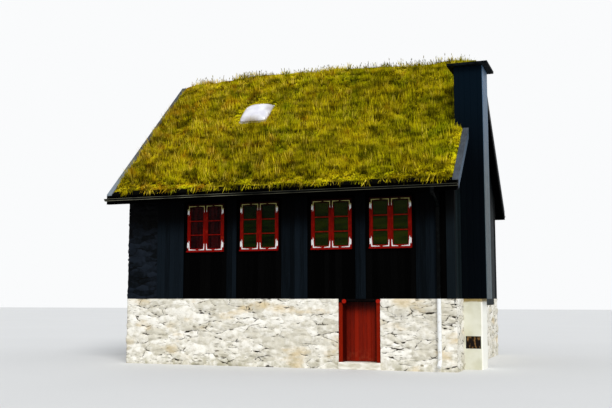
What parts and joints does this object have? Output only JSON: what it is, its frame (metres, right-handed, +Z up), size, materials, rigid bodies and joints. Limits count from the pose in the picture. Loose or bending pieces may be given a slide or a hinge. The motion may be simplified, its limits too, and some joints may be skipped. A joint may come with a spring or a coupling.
{
  "type": "turf house",
  "caption": "Low stone and tarred timber house with a steep grass roof, red casement windows, a cellar door that swings in, a boarded chimney and a domed skylight.",
  "frame": {"origin": "on the ground, in the middle of the house's plan, at the underside of the cellar floor", "axes": "+X along the front wall to the right, +Y from the front to the rear, +Z up"},
  "size_m": [9.89, 8.46, 8.3993],
  "materials": {
    "whitewashed_stone": "rough whitewash",
    "tarred_stone": "rough black paint",
    "cellar_stone": "rough",
    "tarred_boards": "tarred",
    "weathered_boards": "weathered",
    "floor_boards": "worn",
    "red_paint": "painted",
    "dark_red_paint": "painted",
    "window_glass": "clear",
    "turf": "grass",
    "gutter_metal": "satin",
    "white_metal": "satin",
    "iron": "rusty",
    "dome_plastic": "translucent"
  },
  "bodies": {
    "root": {"basement_left": "whitewashed_stone", "basement_front_left": "whitewashed_stone", "basement_front_right": "whitewashed_stone", "basement_rear": "whitewashed_stone", "basement_right": "whitewashed_stone", "cellar_floor": "cellar_stone", "door_step": "whitewashed_stone", "door_frame": "red_paint", "stone_gable": "tarred_stone", "front_piers": "tarred_boards", "front_aprons": "tarred_boards", "front_headers": "tarred_boards", "rear_piers": "tarred_boards", "rear_aprons": "tarred_boards", "rear_headers": "tarred_boards", "right_gable": "tarred_boards", "corner_boards": "tarred_boards", "upper_floor": "floor_boards", "front_window_frames": "red_paint", "front_sashes": "red_paint", "front_glass": "window_glass", "rear_window_frames": "red_paint", "rear_sashes": "red_paint", "rear_glass": "window_glass", "roof_deck_front": "tarred_boards", "roof_deck_rear": "tarred_boards", "turf_front": "turf", "turf_rear": "turf", "eave_board_front": "tarred_boards", "eave_board_rear": "tarred_boards", "verge_left_boards": "tarred_boards", "verge_right_boards": "tarred_boards", "verge_left_caps": "weathered_boards", "verge_right_caps": "weathered_boards", "gutter_front": "gutter_metal", "gutter_rear": "gutter_metal", "downpipe_upper": "gutter_metal", "downpipe_lower": "white_metal", "downpipe_rear": "gutter_metal", "chimney_base": "whitewashed_stone", "chimney_shaft": "tarred_boards", "chimney_slab": "cellar_stone", "soot_hatch": "iron", "skylight_kerb": "white_metal", "skylight_dome": "dome_plastic"},
    "cellar_leaf": {"cellar_door": "dark_red_paint", "door_straps": "iron"}
  },
  "joints": [
    {"name": "cellar_door_hinge", "type": "hinge", "parent": "root", "child": "cellar_leaf", "pos_m": [1.629, -3.09, 0.9], "axis": [0, 0, 1], "range_deg": [0, 95]}
  ]
}
